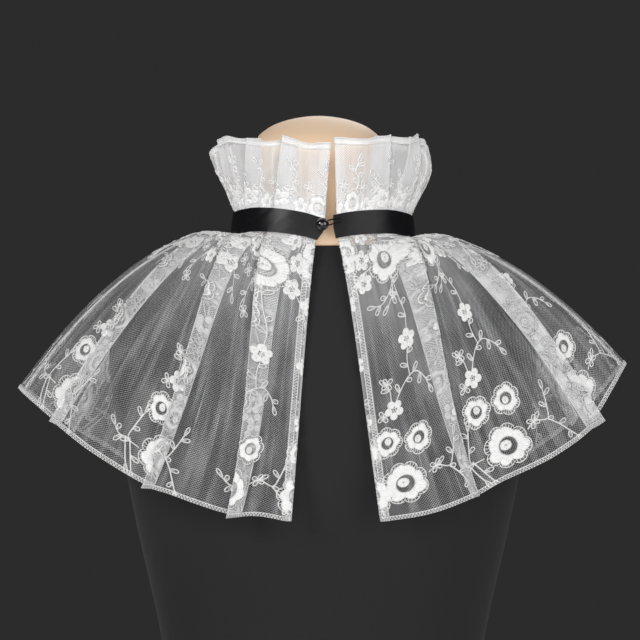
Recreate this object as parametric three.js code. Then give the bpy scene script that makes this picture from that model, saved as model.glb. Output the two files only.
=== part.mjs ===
// A detachable lace collar on a dress form: a knife-pleated lace capelet and a standing lace ruffle,
// both sewn to one satin neck ribbon that closes in front with a round button and a cord loop.
// Millimetres, +Z up, -Y is the front. The origin is the middle of the form's flat underside.
import * as THREE from "three";

// ---- driving dimensions -------------------------------------------------------------------------

const SEAM_Z = 560; // height of the neck seam above the floor
const RING_X = 71.9; // half width of the outermost lace layer at the seam
const RING_Y = 60.4; // half depth of the same
const CLOTH = 1; // thickness of a lace wall
const LAYER = 2; // distance from one layer of a folded pleat to the next
const FIT = 0.43; // gap between pieces that touch, before their facets take up to 0.13 of it
const SEAM_GAP = 0.7; // the same between the capelet and the ruffle, under the ribbon
const RIBBON_WIDTH = 19;
const RIBBON_WALL = 0.8;
const RIBBON_ENDS = { right: 6.4, left: -0.7 }; // degrees from the centre front
const NECK_FLARE = 0.12; // how much the neck ring widens for each millimetre down
const SIDE_TILT = -1.3; // the ring hangs lower on the wearer's left
const BAND = 10.9; // how far the lace runs down, or up, before it leaves the ribbon
const FRONT_HEM = { width: 8, extra: 0.7 }; // the turned-in front edges are thicker

const HEM_HALF_WIDTH = 241;
const HEM_FRONT = 133; // depth of the hem in front of the neck's axis
const HEM_BACK = 140;
const HEM_SQUARENESS = 2.6; // exponent of the hem's plan, 2 is an ellipse
const SHOULDER_PUFF = 10.5; // how far the lace stands up beside the ribbon, at the sides
const CAPELET_SWEEP = 2.1; // exponent of how early the folds run straight down, 1 is evenly
const FLUTE = 4.5; // how far the cloth between two pleats bulges at the hem
const PUCKER = 0.55; // height of the small gathers beside the ribbon

const RUFFLE_SWEEP = 1;
const RUFFLE_CURL = 4; // exponent of the ruffle's curl, which is strongest at the top edge
const TIP_SPREAD = 0.4; // how much of a fold's tip the cloth beside the fold follows
const RUFFLE_WAVE = 3; // how far the cloth between two pleats bulges at the top edge

// Height of the seam round the neck, from the centre front (0) to the centre back (180).
const SEAM = [
  { deg: 0, rise: -8.5 },
  { deg: 12, rise: -4.2 },
  { deg: 28, rise: -1.5 },
  { deg: 48, rise: -0.8 },
  { deg: 70, rise: -3.2 },
  { deg: 92, rise: -5.5 },
  { deg: 135, rise: -1 },
  { deg: 180, rise: 4 },
];

// How the capelet bends from the neck to the hem: two guides, each as its share of the way out and of
// the way down, which differs between the sides and the front.
const DRAPE = [
  { out: 0.25, side: -0.02, front: 0.187 },
  { out: 0.6, side: 0.2, front: 0.52 },
];

// How far the hem hangs below the seam, from the centre front (0) to the centre back (180).
const HEM = [
  { deg: 0, right: 241, left: 241 },
  { deg: 15, right: 234, left: 230 },
  { deg: 30, right: 208, left: 209 },
  { deg: 45, right: 187, left: 184 },
  { deg: 60, right: 159, left: 158 },
  { deg: 75, right: 126, left: 142 },
  { deg: 90, right: 114.5, left: 135 },
  { deg: 105, right: 124, left: 141 },
  { deg: 120, right: 147, left: 156 },
  { deg: 135, right: 176, left: 178 },
  { deg: 150, right: 203, left: 203 },
  { deg: 165, right: 220, left: 220 },
  { deg: 180, right: 226, left: 226 },
];

// The ruffle's top edge: its height over SEAM_Z, how far it leans out, and how far it curls back in.
const RUFFLE_TOP = {
  right: [
    { deg: 0, height: 65, flare: 18, curl: 0 },
    { deg: 30, height: 65, flare: 18, curl: 0 },
    { deg: 52, height: 65.5, flare: 19, curl: 2 },
    { deg: 72, height: 65, flare: 28, curl: 16 },
    { deg: 90, height: 58, flare: 33, curl: 24 },
    { deg: 115, height: 58, flare: 24, curl: 9 },
    { deg: 150, height: 63, flare: 18, curl: 0 },
    { deg: 180, height: 66, flare: 18, curl: 0 },
  ],
  left: [
    { deg: 0, height: 61, flare: 18, curl: 0 },
    { deg: 18, height: 62, flare: 18, curl: 0 },
    { deg: 35, height: 63, flare: 18, curl: 0 },
    { deg: 48, height: 64, flare: 18, curl: 0 },
    { deg: 58, height: 67, flare: 18.5, curl: 0 },
    { deg: 70, height: 62, flare: 20, curl: 2 },
    { deg: 80, height: 57, flare: 23, curl: 4 },
    { deg: 92, height: 52.5, flare: 24, curl: 5 },
    { deg: 115, height: 57, flare: 20, curl: 2 },
    { deg: 150, height: 63, flare: 18, curl: 0 },
    { deg: 180, height: 66, flare: 18, curl: 0 },
  ],
};

// The front edges of the lace at the neck and at the free edge, in degrees from the centre front. The
// ruffle's left edge reaches past the centre.
const CAPELET_FRONT = { right: { neck: 9.6, free: 6.6 }, left: { neck: 4.6, free: 3.1 } };
const RUFFLE_FRONT = { right: { neck: 8.8, free: 5.8 }, left: { neck: -1.4, free: -4.2 } };

// Knife pleats of the capelet, turned away from the front: where each fold's edge is at the neck and
// at the hem, and how wide the folded layers are there. tip is how far the fold's corner pokes past
// the free edge.
const CAPELET_PLEATS = {
  right: [
    { neck: 60, neckWidth: 27, hem: 24.5, hemWidth: 4, tip: 1.5 },
    { neck: 84, neckWidth: 19, hem: 62.5, hemWidth: 17, tip: 8 },
    { neck: 107, neckWidth: 19, hem: 93, hemWidth: 11, tip: 2 },
    { neck: 131, neckWidth: 19, hem: 128, hemWidth: 9, tip: 3 },
    { neck: 156, neckWidth: 20, hem: 153, hemWidth: 9, tip: 4 },
  ],
  left: [
    { neck: 37, neckWidth: 23, hem: 12.6, hemWidth: 9, tip: 4.5 },
    { neck: 61, neckWidth: 19, hem: 30, hemWidth: 7, tip: 4.5 },
    { neck: 84, neckWidth: 19, hem: 60, hemWidth: 8, tip: 3 },
    { neck: 107, neckWidth: 19, hem: 93, hemWidth: 10, tip: 2 },
    { neck: 131, neckWidth: 19, hem: 128, hemWidth: 9, tip: 3 },
    { neck: 156, neckWidth: 20, hem: 153, hemWidth: 9, tip: 4 },
  ],
};

// Knife pleats of the ruffle.
const RUFFLE_PLEATS = {
  right: [
    { neck: 47, neckWidth: 20, hem: 37, hemWidth: 12, tip: 2 },
    { neck: 73, neckWidth: 19, hem: 64, hemWidth: 10, tip: 3 },
    { neck: 98, neckWidth: 17, hem: 92, hemWidth: 10, tip: -5 },
    { neck: 122, neckWidth: 17, hem: 120, hemWidth: 9, tip: 2 },
    { neck: 150, neckWidth: 20, hem: 148, hemWidth: 10, tip: 1 },
  ],
  left: [
    { neck: 33, neckWidth: 18, hem: 20.5, hemWidth: 10, tip: 5 },
    { neck: 62, neckWidth: 20, hem: 43, hemWidth: 11, tip: 1 },
    { neck: 85, neckWidth: 17, hem: 71, hemWidth: 9, tip: 2.5 },
    { neck: 108, neckWidth: 17, hem: 96, hemWidth: 9, tip: -4 },
    { neck: 131, neckWidth: 17, hem: 126, hemWidth: 9, tip: 2 },
    { neck: 155, neckWidth: 19, hem: 152, hemWidth: 10, tip: 2 },
  ],
};

// The dress form's torso, from its flat underside to the neckline: a rounded oval at each height.
const TORSO = [
  { z: 0, wide: 158, deep: 104, forward: 2, square: 2.4 },
  { z: 60, wide: 161, deep: 107, forward: 2, square: 2.4 },
  { z: 115, wide: 145, deep: 98, forward: 2, square: 2.3 },
  { z: 175, wide: 124, deep: 87, forward: 2, square: 2.2 },
  { z: 240, wide: 132, deep: 92, forward: 4, square: 2.3 },
  { z: 305, wide: 147, deep: 104, forward: 6, square: 2.4 },
  { z: 365, wide: 159, deep: 107, forward: 4, square: 2.5 },
  { z: 410, wide: 167, deep: 102, forward: 1, square: 2.5 },
  { z: 448, wide: 172, deep: 93.5, forward: -1, square: 2.4 },
  { z: 476, wide: 170, deep: 85, forward: -2, square: 2.3 },
  { z: 499, wide: 157, deep: 76, forward: -2, square: 2.2 },
  { z: 516, wide: 136, deep: 69, forward: -1, square: 2.1 },
  { z: 527, wide: 109, deep: 63, forward: 0, square: 2 },
  { z: 533.5, wide: 85, deep: 59, forward: 0, square: 2 },
  { z: 537, wide: 70.6, deep: 56.5, forward: 0, square: 2 },
  { z: 542, wide: 66.4, deep: 55.4, forward: 0, square: 2 },
];
const TORSO_STEPS = 2; // rings for each stretch of the table below its shoulders
const TORSO_TILT = { from: 440, to: 542, slope: 0.06 }; // the neckline is higher at the back

// The bare neck above the torso's cover, and its domed cap. It leans a little to the wearer's right.
const NECK = [
  { z: 542.3, wide: 66.6, deep: 55.2, slope: 0.06, aside: 0 },
  { z: 549, wide: 66.4, deep: 55.1, slope: 0.06, aside: 0 },
  { z: 557, wide: 64, deep: 54, slope: 0.08, aside: -0.3 },
  { z: 566, wide: 59.5, deep: 51.5, slope: 0.1, aside: -0.8 },
  { z: 578, wide: 54, deep: 47.5, slope: 0.12, aside: -1.6 },
  { z: 594, wide: 50.6, deep: 45, slope: 0.15, aside: -2.6 },
  { z: 611, wide: 49.8, deep: 44.2, slope: 0.18, aside: -3.4 },
  { z: 622.5, wide: 49.6, deep: 43.8, slope: 0.19, aside: -3.6 },
  { z: 626.5, wide: 48.4, deep: 42.8, slope: 0.2, aside: -3.6 },
  { z: 633.5, wide: 40.5, deep: 36, slope: 0.2, aside: -3.6 },
  { z: 638.5, wide: 27, deep: 24, slope: 0.2, aside: -3.6 },
  { z: 641.5, wide: 12, deep: 11, slope: 0.2, aside: -3.6 },
];
const NECK_TOP = 642.2;
const FORM_SIDES = 48;

const BUTTON = { deg: -0.4, up: 4.6, radius: 5.1, shank: 1, shankLength: 2.3 };
const LOOP = { radius: 0.6, reach: 2.1, end: 10.5, spread: 1.6 };

// ---- small helpers ------------------------------------------------------------------------------

const radians = THREE.MathUtils.degToRad;
const mix = THREE.MathUtils.lerp;
const ease = (x) => THREE.MathUtils.smoothstep(x, 0, 1);
const power = (x, p) => Math.sign(x) * Math.abs(x) ** p;

// A smooth curve through one column of a table, read at a value of its first column.
function through(table, key, column, at) {
  const last = table.length - 1;
  let i = table.findIndex((row) => row[key] >= at) - 1;
  if (at > table[last][key]) i = last - 1;
  i = Math.min(Math.max(i, 0), last - 1);
  const slope = (j) => {
    const a = table[Math.max(j - 1, 0)];
    const b = table[Math.min(j + 1, last)];
    return (b[column] - a[column]) / (b[key] - a[key]);
  };
  const [a, b] = [table[i], table[i + 1]];
  const span = b[key] - a[key];
  const x = THREE.MathUtils.clamp((at - a[key]) / span, 0, 1);
  const [x2, x3] = [x * x, x * x * x];
  return (
    a[column] * (2 * x3 - 3 * x2 + 1) +
    b[column] * (3 * x2 - 2 * x3) +
    span * (slope(i) * (x3 - 2 * x2 + x) + slope(i + 1) * (x3 - x2))
  );
}

// ---- the surfaces that the cloth follows ----------------------------------------------------------

// Degrees run from the centre front (0) over the wearer's left (90) to the centre back (180) and on.
const fromFront = (deg) => (deg > 180 ? 360 - deg : deg);
const sideOf = (deg) => (deg > 180 ? "left" : "right");
const seamZ = (deg) =>
  SEAM_Z + through(SEAM, "deg", "rise", fromFront(deg)) + SIDE_TILT * Math.sin(radians(deg));

// A point beside the neck seam, up from it and out from the outermost lace layer.
function ringPoint(deg, up, out) {
  const wider = out - NECK_FLARE * up;
  const a = radians(deg);
  return new THREE.Vector3(
    (RING_X + wider) * Math.sin(a),
    -(RING_Y + wider) * Math.cos(a),
    seamZ(deg) + up,
  );
}

function hemPoint(deg) {
  const a = radians(deg);
  const depth = Math.cos(a) > 0 ? HEM_FRONT : HEM_BACK;
  const rounding = 2 / HEM_SQUARENESS;
  return new THREE.Vector3(
    HEM_HALF_WIDTH * power(Math.sin(a), rounding),
    -depth * power(Math.cos(a), rounding),
    SEAM_Z - through(HEM, "deg", sideOf(deg), fromFront(deg)),
  );
}

// The capelet without its pleats. down is 0 at the ribbon's lower edge and 1 at the hem.
function capeletPoint(deg, down) {
  const start = ringPoint(deg, -BAND, 0);
  const end = hemPoint(deg);
  const facing = Math.cos(radians(deg)) ** 2; // 1 at the front and back, 0 at the sides
  const bend = ({ out, side, front }) =>
    new THREE.Vector3(
      mix(start.x, end.x, out),
      mix(start.y, end.y, out),
      mix(start.z, end.z, mix(side, front, facing)),
    );
  const [near, far] = DRAPE.map(bend);
  const point = new THREE.CubicBezierCurve3(start, near, far, end).getPoint(down);
  point.z += SHOULDER_PUFF * (1 - facing) * ease(down / 0.2) * (1 - down) ** 2;
  return point;
}

// The ruffle without its pleats. rise is 0 at the ribbon's upper edge and 1 at the top.
function rufflePoint(deg, rise) {
  const read = (column) => through(RUFFLE_TOP[sideOf(deg)], "deg", column, fromFront(deg));
  const height = mix(BAND, read("height") + SEAM_Z - seamZ(deg), rise);
  const lean = read("flare") * rise ** 1.15 - read("curl") * rise ** RUFFLE_CURL;
  return ringPoint(deg, height, lean + NECK_FLARE * (height - BAND));
}

// ---- pleats ---------------------------------------------------------------------------------------

// How many millimetres one degree is, along the base surface.
function speed(base, deg) {
  const step = 0.5;
  return base(deg + step).distanceTo(base(deg - step)) / (2 * step);
}

// One side's line of cloth at one level, from the front edge to the centre back, as degrees and depth.
// share is 0 at the neck and 1 at the free edge; base is the level's curve without pleats.
function sideLine(pleats, front, share, sweep, bulge, base) {
  const line = [];
  const swept = 1 - (1 - share) ** sweep;
  const start = mix(front.neck, front.free, swept);
  const hem = FRONT_HEM.width / speed(base, start);
  const add = (deg, depth, extra = {}) => line.push({ deg, depth, ...extra });
  add(start, 0, { hem: true });
  add(start + hem, 0, { hem: true });
  let last = { deg: start + hem, depth: 0 };
  for (const row of [...pleats, null]) {
    const edge = row ? mix(row.neck, row.hem, swept) : 180;
    const width = row ? mix(row.neckWidth, row.hemWidth, share) / speed(base, edge) : 0;
    const inner = edge - width;
    const tip = row?.tip ?? 0;
    for (const f of [0.25, 0.5, 0.75]) {
      const pucker = f === 0.5 ? 1 : -0.4;
      const depth = mix(last.depth, 0, ease(f)) + bulge * Math.sin(Math.PI * f);
      add(mix(last.deg, inner, f), depth, { pucker, tip: TIP_SPREAD * tip * f ** 3 });
    }
    if (!row) {
      add(180, 0);
      break;
    }
    const round = LAYER / 2 / speed(base, edge);
    add(inner, 0, { tip: TIP_SPREAD * tip });
    add(mix(inner, edge, 0.5), 0, { tip: (tip * (1 + TIP_SPREAD)) / 2 });
    add(edge, 0, { tip });
    add(edge + round, -LAYER / 2, { tip });
    add(edge, -LAYER, { tip: tip / 2 });
    add(inner, -LAYER);
    add(inner - round, -1.5 * LAYER);
    add(inner, -2 * LAYER);
    add(edge, -2 * LAYER);
    last = { deg: edge, depth: -2 * LAYER };
  }
  return line;
}

// Both sides' lines as one, from the right front edge round the back to the left front edge.
function wholeLine(pleats, fronts, share, sweep, bulge, base) {
  const mirrored = (deg) => base(360 - deg);
  const right = sideLine(pleats.right, fronts.right, share, sweep, bulge, base);
  const left = sideLine(pleats.left, fronts.left, share, sweep, bulge, mirrored);
  const back = left.slice(0, -1).reverse();
  return [...right, ...back.map((p) => ({ ...p, deg: 360 - p.deg }))];
}

// ---- walls and lofts --------------------------------------------------------------------------------

// The direction of a line of points at one of them: halfway between its two stretches.
function heading(points, i) {
  const before = points[Math.max(i - 1, 0)];
  const after = points[Math.min(i + 1, points.length - 1)];
  const here = points[i];
  const ahead = after.clone().sub(here).normalize();
  return here.clone().sub(before).normalize().add(ahead).normalize();
}

function trianglesToGeometry(points, triangles) {
  const geometry = new THREE.BufferGeometry().setFromPoints(points);
  geometry.setIndex(triangles);
  geometry.computeVertexNormals();
  return geometry;
}

// A closed wall round a grid of middle points: rows run down, columns run anticlockwise from above.
// Where a fold turns the columns back, their faces are split the other way, so that layers nest.
function wall(grid, outward, inward, turnedBack = () => false) {
  const [rows, columns] = [grid.length, grid[0].length];
  const lines = grid[0].map((_, c) => grid.map((row) => row[c]));
  const normals = grid.map((row, r) =>
    row.map((_, c) => heading(lines[c], r).cross(heading(row, c)).normalize()),
  );
  const face = (offset) =>
    grid.flatMap((row, r) => row.map((p, c) => p.clone().addScaledVector(normals[r][c], offset(c))));
  const points = [...face(() => outward), ...face((c) => -inward(c))];
  const outer = (r, c) => r * columns + c;
  const inner = (r, c) => (rows + r) * columns + c;
  const triangles = [];
  const quad = (a, b, c, d) => triangles.push(a, b, c, a, c, d);
  for (let r = 0; r < rows - 1; r++) {
    for (let c = 0; c < columns - 1; c++) {
      const d = c + 1;
      if (turnedBack(c)) {
        quad(outer(r, d), outer(r, c), outer(r + 1, c), outer(r + 1, d));
        quad(inner(r, d), inner(r + 1, d), inner(r + 1, c), inner(r, c));
      } else {
        quad(outer(r, c), outer(r + 1, c), outer(r + 1, d), outer(r, d));
        quad(inner(r, c), inner(r, d), inner(r + 1, d), inner(r + 1, c));
      }
    }
    quad(inner(r, 0), inner(r + 1, 0), outer(r + 1, 0), outer(r, 0));
    const end = columns - 1;
    quad(outer(r, end), outer(r + 1, end), inner(r + 1, end), inner(r, end));
  }
  for (let c = 0; c < columns - 1; c++) {
    quad(inner(0, c), outer(0, c), outer(0, c + 1), inner(0, c + 1));
    const foot = rows - 1;
    quad(outer(foot, c), inner(foot, c), inner(foot, c + 1), outer(foot, c + 1));
  }
  return trianglesToGeometry(points, triangles);
}

// A closed solid through rings of points, from the lowest ring to the highest, closed at both ends.
function loft(rings, bottom, top) {
  const sides = rings[0].length;
  const points = [...rings.flat(), bottom, top];
  const triangles = [];
  for (let c = 0; c < sides; c++) {
    const next = (c + 1) % sides;
    for (let r = 0; r < rings.length - 1; r++) {
      const [a, b] = [r * sides + c, r * sides + next];
      triangles.push(a, b, b + sides, a, b + sides, a + sides);
    }
    const high = (rings.length - 1) * sides;
    triangles.push(next, c, points.length - 2);
    triangles.push(high + c, high + next, points.length - 1);
  }
  return trianglesToGeometry(points, triangles);
}

// ---- the pieces -------------------------------------------------------------------------------------

const hemmed = (line) => (c) => CLOTH / 2 + (line[c].hem ? FRONT_HEM.extra : 0);
const folded = (line) => (c) => line[c + 1].deg < line[c].deg;

function capelet() {
  const downs = [0.05, 0.13, 0.23, 0.35, 0.48, 0.61, 0.74, 0.87, 1];
  const levels = [
    { share: 0, base: (deg) => ringPoint(deg, -SEAM_GAP / 2, 0) },
    { share: 0, base: (deg) => ringPoint(deg, -BAND, 0) },
    ...downs.map((down) => ({ share: down, base: (deg) => capeletPoint(deg, down) })),
  ];
  let line;
  const grid = levels.map(({ share, base }, level) => {
    const bulge = FLUTE * share ** 1.5;
    line = wholeLine(CAPELET_PLEATS, CAPELET_FRONT, share, CAPELET_SWEEP, bulge, base);
    const gather = level > 1 ? PUCKER * Math.max(0, 1 - share / 0.4) : 0;
    return line.map((p) => besideSurface(base, p, levels, level, gather, -(share ** 2)));
  });
  return wall(grid, CLOTH / 2, hemmed(line), folded(line));
}

function ruffle() {
  const rises = [1, 0.72, 0.45, 0.22];
  const levels = [
    ...rises.map((rise) => ({ share: rise, base: (deg) => rufflePoint(deg, rise) })),
    { share: 0, base: (deg) => ringPoint(deg, BAND, 0) },
    { share: 0, base: (deg) => ringPoint(deg, SEAM_GAP / 2, 0) },
  ];
  let line;
  const grid = levels.map(({ share, base }, level) => {
    const bulge = RUFFLE_WAVE * share ** 1.5;
    line = wholeLine(RUFFLE_PLEATS, RUFFLE_FRONT, share, RUFFLE_SWEEP, bulge, base);
    const gather = share > 0 ? PUCKER * Math.max(0, 1 - share / 0.6) : 0;
    return line.map((p) => besideSurface(base, p, levels, level, gather, share ** 2));
  });
  return wall(grid, CLOTH / 2, hemmed(line), folded(line));
}

// A point on a level's base curve, moved in or out at right angles to the base surface, by its depth
// and its share of the gathers, and up along the surface by its share of the tip.
function besideSurface(base, { deg, depth, pucker = 0, tip = 0 }, levels, level, gather, raise) {
  const step = 0.5;
  const above = levels[Math.max(level - 1, 0)].base(deg);
  const below = levels[Math.min(level + 1, levels.length - 1)].base(deg);
  const across = base(deg + step).sub(base(deg - step));
  const down = below.sub(above).normalize();
  const out = down.clone().cross(across).normalize();
  return base(deg)
    .addScaledVector(out, depth + gather * pucker)
    .addScaledVector(down, -raise * tip);
}

function ribbon() {
  const columns = 64;
  const rows = 5;
  const out = CLOTH / 2 + FIT + RIBBON_WALL / 2;
  const last = 360 - RIBBON_ENDS.left;
  const grid = [...Array(rows)].map((_, r) => {
    const up = mix(RIBBON_WIDTH / 2, -RIBBON_WIDTH / 2, r / (rows - 1));
    return [...Array(columns)].map((_, c) =>
      ringPoint(mix(RIBBON_ENDS.right, last, c / (columns - 1)), up, out),
    );
  });
  return wall(grid, RIBBON_WALL / 2, () => RIBBON_WALL / 2);
}

// The round button and the short shank that stands on the ribbon's left end, turned about its axis.
function button() {
  const { radius, shank, shankLength } = BUTTON;
  const middle = shankLength + Math.sqrt(radius ** 2 - shank ** 2);
  const start = Math.asin(shank / radius);
  const arcs = 10;
  const outline = [new THREE.Vector2(0, 0), new THREE.Vector2(shank, 0)];
  for (let i = 0; i < arcs; i++) {
    const a = mix(start, Math.PI, i / arcs);
    outline.push(new THREE.Vector2(radius * Math.sin(a), middle - radius * Math.cos(a)));
  }
  outline.push(new THREE.Vector2(0, middle + radius));
  return new THREE.LatheGeometry(outline, 20);
}

// The cord loop: out from the right end of the ribbon, round the button's shank and back.
function buttonLoop() {
  const { radius, reach, end, spread } = LOOP;
  const out = CLOTH / 2 + FIT + RIBBON_WALL + FIT + radius;
  const degree = radians(1) * RING_X;
  const at = (across, up) => ringPoint(BUTTON.deg + across / degree, BUTTON.up + up, out);
  const turn = [-90, -135, 180, 135, 90].map((deg) => {
    const a = radians(deg);
    return at(reach * Math.cos(a), reach * Math.sin(a));
  });
  const far = (end - BUTTON.deg) * degree;
  const middle = (side) => at(far / 2, side * spread * 1.2);
  const route = [at(far, -spread), middle(-1), ...turn, middle(1), at(far, spread)];
  const section = new THREE.Shape().absarc(0, 0, radius, 0, 2 * Math.PI);
  const extrudePath = new THREE.CatmullRomCurve3(route);
  return new THREE.ExtrudeGeometry(section, { steps: 26, curveSegments: 4, extrudePath });
}

// A ring of the form: a rounded oval whose back is higher than its front by its slope.
function formRing({ z, wide, deep, forward = 0, aside = 0, square = 2, slope }) {
  return [...Array(FORM_SIDES)].map((_, i) => {
    const a = (2 * Math.PI * i) / FORM_SIDES;
    const x = wide * power(Math.sin(a), 2 / square) + aside;
    const y = -deep * power(Math.cos(a), 2 / square) - forward;
    return new THREE.Vector3(x, y, z + slope * y);
  });
}

function formBody() {
  const { from, to, slope } = TORSO_TILT;
  const heights = TORSO.flatMap(({ z }, i) => {
    const next = TORSO[i + 1];
    return next && z < from ? [z, mix(z, next.z, 1 / TORSO_STEPS)] : [z];
  });
  const rings = heights.map((z) => {
    const read = (column) => through(TORSO, "z", column, z);
    const [wide, deep, forward, square] = ["wide", "deep", "forward", "square"].map(read);
    return formRing({ z, wide, deep, forward, square, slope: slope * ease((z - from) / (to - from)) });
  });
  return loft(rings, new THREE.Vector3(0, 0, TORSO[0].z), new THREE.Vector3(0, 0, TORSO.at(-1).z));
}

function formNeck() {
  const rings = NECK.map(formRing);
  const [bottom, top] = [NECK[0], NECK.at(-1)];
  return loft(rings, new THREE.Vector3(0, 0, bottom.z), new THREE.Vector3(top.aside, 0, NECK_TOP));
}

// ---- the whole --------------------------------------------------------------------------------------

const FINISH = {
  lace: { color: 0xf3efe6, roughness: 0.9, metalness: 0 },
  satin: { color: 0x1a1a1c, roughness: 0.35, metalness: 0 },
  gloss: { color: 0x08080a, roughness: 0.08, metalness: 0 },
  cover: { color: 0x17171a, roughness: 0.95, metalness: 0 },
  neck: { color: 0xd9b89b, roughness: 0.5, metalness: 0 },
};

const collar = new THREE.Group();

function addPiece(name, geometry, finish) {
  const mesh = new THREE.Mesh(geometry, new THREE.MeshStandardMaterial(FINISH[finish]));
  mesh.name = name;
  collar.add(mesh);
  return mesh;
}

addPiece("form_body", formBody(), "cover");
addPiece("form_neck", formNeck(), "neck");
addPiece("capelet", capelet(), "lace");
addPiece("ruffle", ruffle(), "lace");
addPiece("ribbon", ribbon(), "satin");
addPiece("button_loop", buttonLoop(), "satin");
const knob = addPiece("button", button(), "gloss");
knob.position.copy(ringPoint(BUTTON.deg, BUTTON.up, CLOTH / 2 + FIT + RIBBON_WALL + FIT));
knob.rotation.set(Math.PI, 0, radians(BUTTON.deg), "ZYX");

export default collar;
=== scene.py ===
"""A detachable lace collar on a dress form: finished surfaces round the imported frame.

Lengths in the lace functions are millimetres, as in the pattern; meshes are made in metres.
"""

import math

import bpy
import numpy as np
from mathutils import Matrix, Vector


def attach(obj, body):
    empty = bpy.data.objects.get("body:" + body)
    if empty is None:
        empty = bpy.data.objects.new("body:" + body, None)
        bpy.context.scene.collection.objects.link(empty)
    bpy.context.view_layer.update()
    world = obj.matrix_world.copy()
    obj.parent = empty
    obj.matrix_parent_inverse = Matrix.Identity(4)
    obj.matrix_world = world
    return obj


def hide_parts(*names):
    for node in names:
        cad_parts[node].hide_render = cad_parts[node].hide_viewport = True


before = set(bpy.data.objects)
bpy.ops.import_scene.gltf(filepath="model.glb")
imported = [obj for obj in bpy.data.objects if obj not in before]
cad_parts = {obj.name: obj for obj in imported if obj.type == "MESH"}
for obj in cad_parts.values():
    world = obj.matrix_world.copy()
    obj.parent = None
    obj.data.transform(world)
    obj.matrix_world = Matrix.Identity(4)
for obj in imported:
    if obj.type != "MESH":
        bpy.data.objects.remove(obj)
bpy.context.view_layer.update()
MM = 0.001

# ---- sizes that the lace shares with the frame ----

SEAM_Z = 560.0  # height that the neck seam rises and falls about
RING_X, RING_Y = 71.9, 60.4  # half the neckband's width and depth
LAYER = 2.0  # from the middle of one layer of a pleat to the next
RIBBON_WIDTH = 19.0
RIBBON_RIGHT, RIBBON_LEFT = 6.4, -0.7  # directions of its two ends, in degrees off the front
NECK_FLARE = 0.12  # how much wider the band is for each millimetre down
SIDE_TILT = -1.3  # rise of the seam at the right, and fall at the left
BAND = 10.9  # how far each strip stands upright from the seam
SEAM_GAP = 0.7  # between the two strips at the seam
FIT = 0.43  # clear room between pieces that lie on each other
CLOTH, RIBBON_WALL = 1.0, 0.8  # thickness of the solids' walls
HEM_TURN = 8.0  # how much of each front edge is turned in
HEM_HALF_WIDTH, HEM_FRONT, HEM_BACK = 241.0, 133.0, 140.0  # reach of the hem sideways, forward and back
HEM_SQUARENESS = 2.6  # of the hem seen from above, where 2 is an ellipse
SHOULDER_PUFF = 10.5  # how far the capelet stands up over the shoulders
FLUTE = 4.5  # bulge of the capelet between two pleats
RUFFLE_WAVE, RUFFLE_CURL = 3.0, 4  # the ruffle's bulge, and how late its top curls in
TIP_SPREAD = 0.4  # share of a pleat's tip that the cloth beside it takes up
CAPELET_SWEEP, RUFFLE_SWEEP = 2.1, 1  # how early the fold edges leave their neck directions

# How far the neck seam lies over SEAM_Z, from the centre front round to the centre back.
SEAM_DEG = (0, 12, 28, 48, 70, 92, 135, 180)
SEAM_RISE = (-8.5, -4.2, -1.5, -0.8, -3.2, -5.5, -1.0, 4.0)

# How the capelet bends: each guide's share of the way out, and of the way down at sides and front.
DRAPE_GUIDES = ((0.25, -0.02, 0.187), (0.6, 0.2, 0.52))

# How far the hem hangs below the seam, from the centre front round to the centre back.
HEM_DEG = (0, 15, 30, 45, 60, 75, 90, 105, 120, 135, 150, 165, 180)
HEM_RIGHT = (241, 234, 208, 187, 159, 126, 114.5, 124, 147, 176, 203, 220, 226)
HEM_LEFT = (241, 230, 209, 184, 158, 142, 135, 141, 156, 178, 203, 220, 226)

# The ruffle's top edge: degrees, height over SEAM_Z, lean outward, and curl back in.
RUFFLE_TOP_RIGHT = (
    (0, 30, 52, 72, 90, 115, 150, 180),
    (65, 65, 65.5, 65, 58, 58, 63, 66),
    (18, 18, 19, 28, 33, 24, 18, 18),
    (0, 0, 2, 16, 24, 9, 0, 0),
)
RUFFLE_TOP_LEFT = (
    (0, 18, 35, 48, 58, 70, 80, 92, 115, 150, 180),
    (61, 62, 63, 64, 67, 62, 57, 52.5, 57, 63, 66),
    (18, 18, 18, 18, 18.5, 20, 23, 24, 20, 18, 18),
    (0, 0, 0, 0, 0, 2, 4, 5, 2, 0, 0),
)

# Front edges in degrees: at the neck seam, and at the free edge.
CAPELET_FRONT = {"right": (9.6, 6.6), "left": (4.6, 3.1)}
RUFFLE_FRONT = {"right": (8.8, 5.8), "left": (-1.4, -4.2)}

# Pleats: fold edge at the neck, folded width there, fold edge at the free edge, width there, tip, and
# how much of a fold edge's extra cover the two layers under the pleat have.
CAPELET_PLEATS = {
    "right": (
        (60, 27, 24.5, 4, 1.5, 0.25),
        (84, 19, 62.5, 17, 8, 0.95),
        (107, 19, 93, 11, 2, 0.25),
        (131, 19, 128, 9, 3, 0.25),
        (156, 20, 153, 9, 4, 0.25),
    ),
    "left": (
        (37, 23, 12.6, 9, 4.5, 0.15),
        (61, 19, 30, 7, 4.5, 0.0),
        (84, 19, 60, 8, 3, 0.25),
        (107, 19, 93, 10, 2, 0.25),
        (131, 19, 128, 9, 3, 0.25),
        (156, 20, 153, 9, 4, 0.25),
    ),
}
RUFFLE_PLEATS = {
    "right": (
        (47, 20, 37, 12, 2, 0.25),
        (73, 19, 64, 10, 3, 0.25),
        (98, 17, 92, 10, -5, 0.25),
        (122, 17, 120, 9, 2, 0.25),
        (150, 20, 148, 10, 1, 0.25),
    ),
    "left": (
        (33, 18, 20.5, 10, 5, 0.25),
        (62, 20, 43, 11, 1, 0.25),
        (85, 17, 71, 9, 2.5, 0.25),
        (108, 17, 96, 9, -4, 0.25),
        (131, 17, 126, 9, 2, 0.25),
        (155, 19, 152, 10, 2, 0.25),
    ),
}

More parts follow.
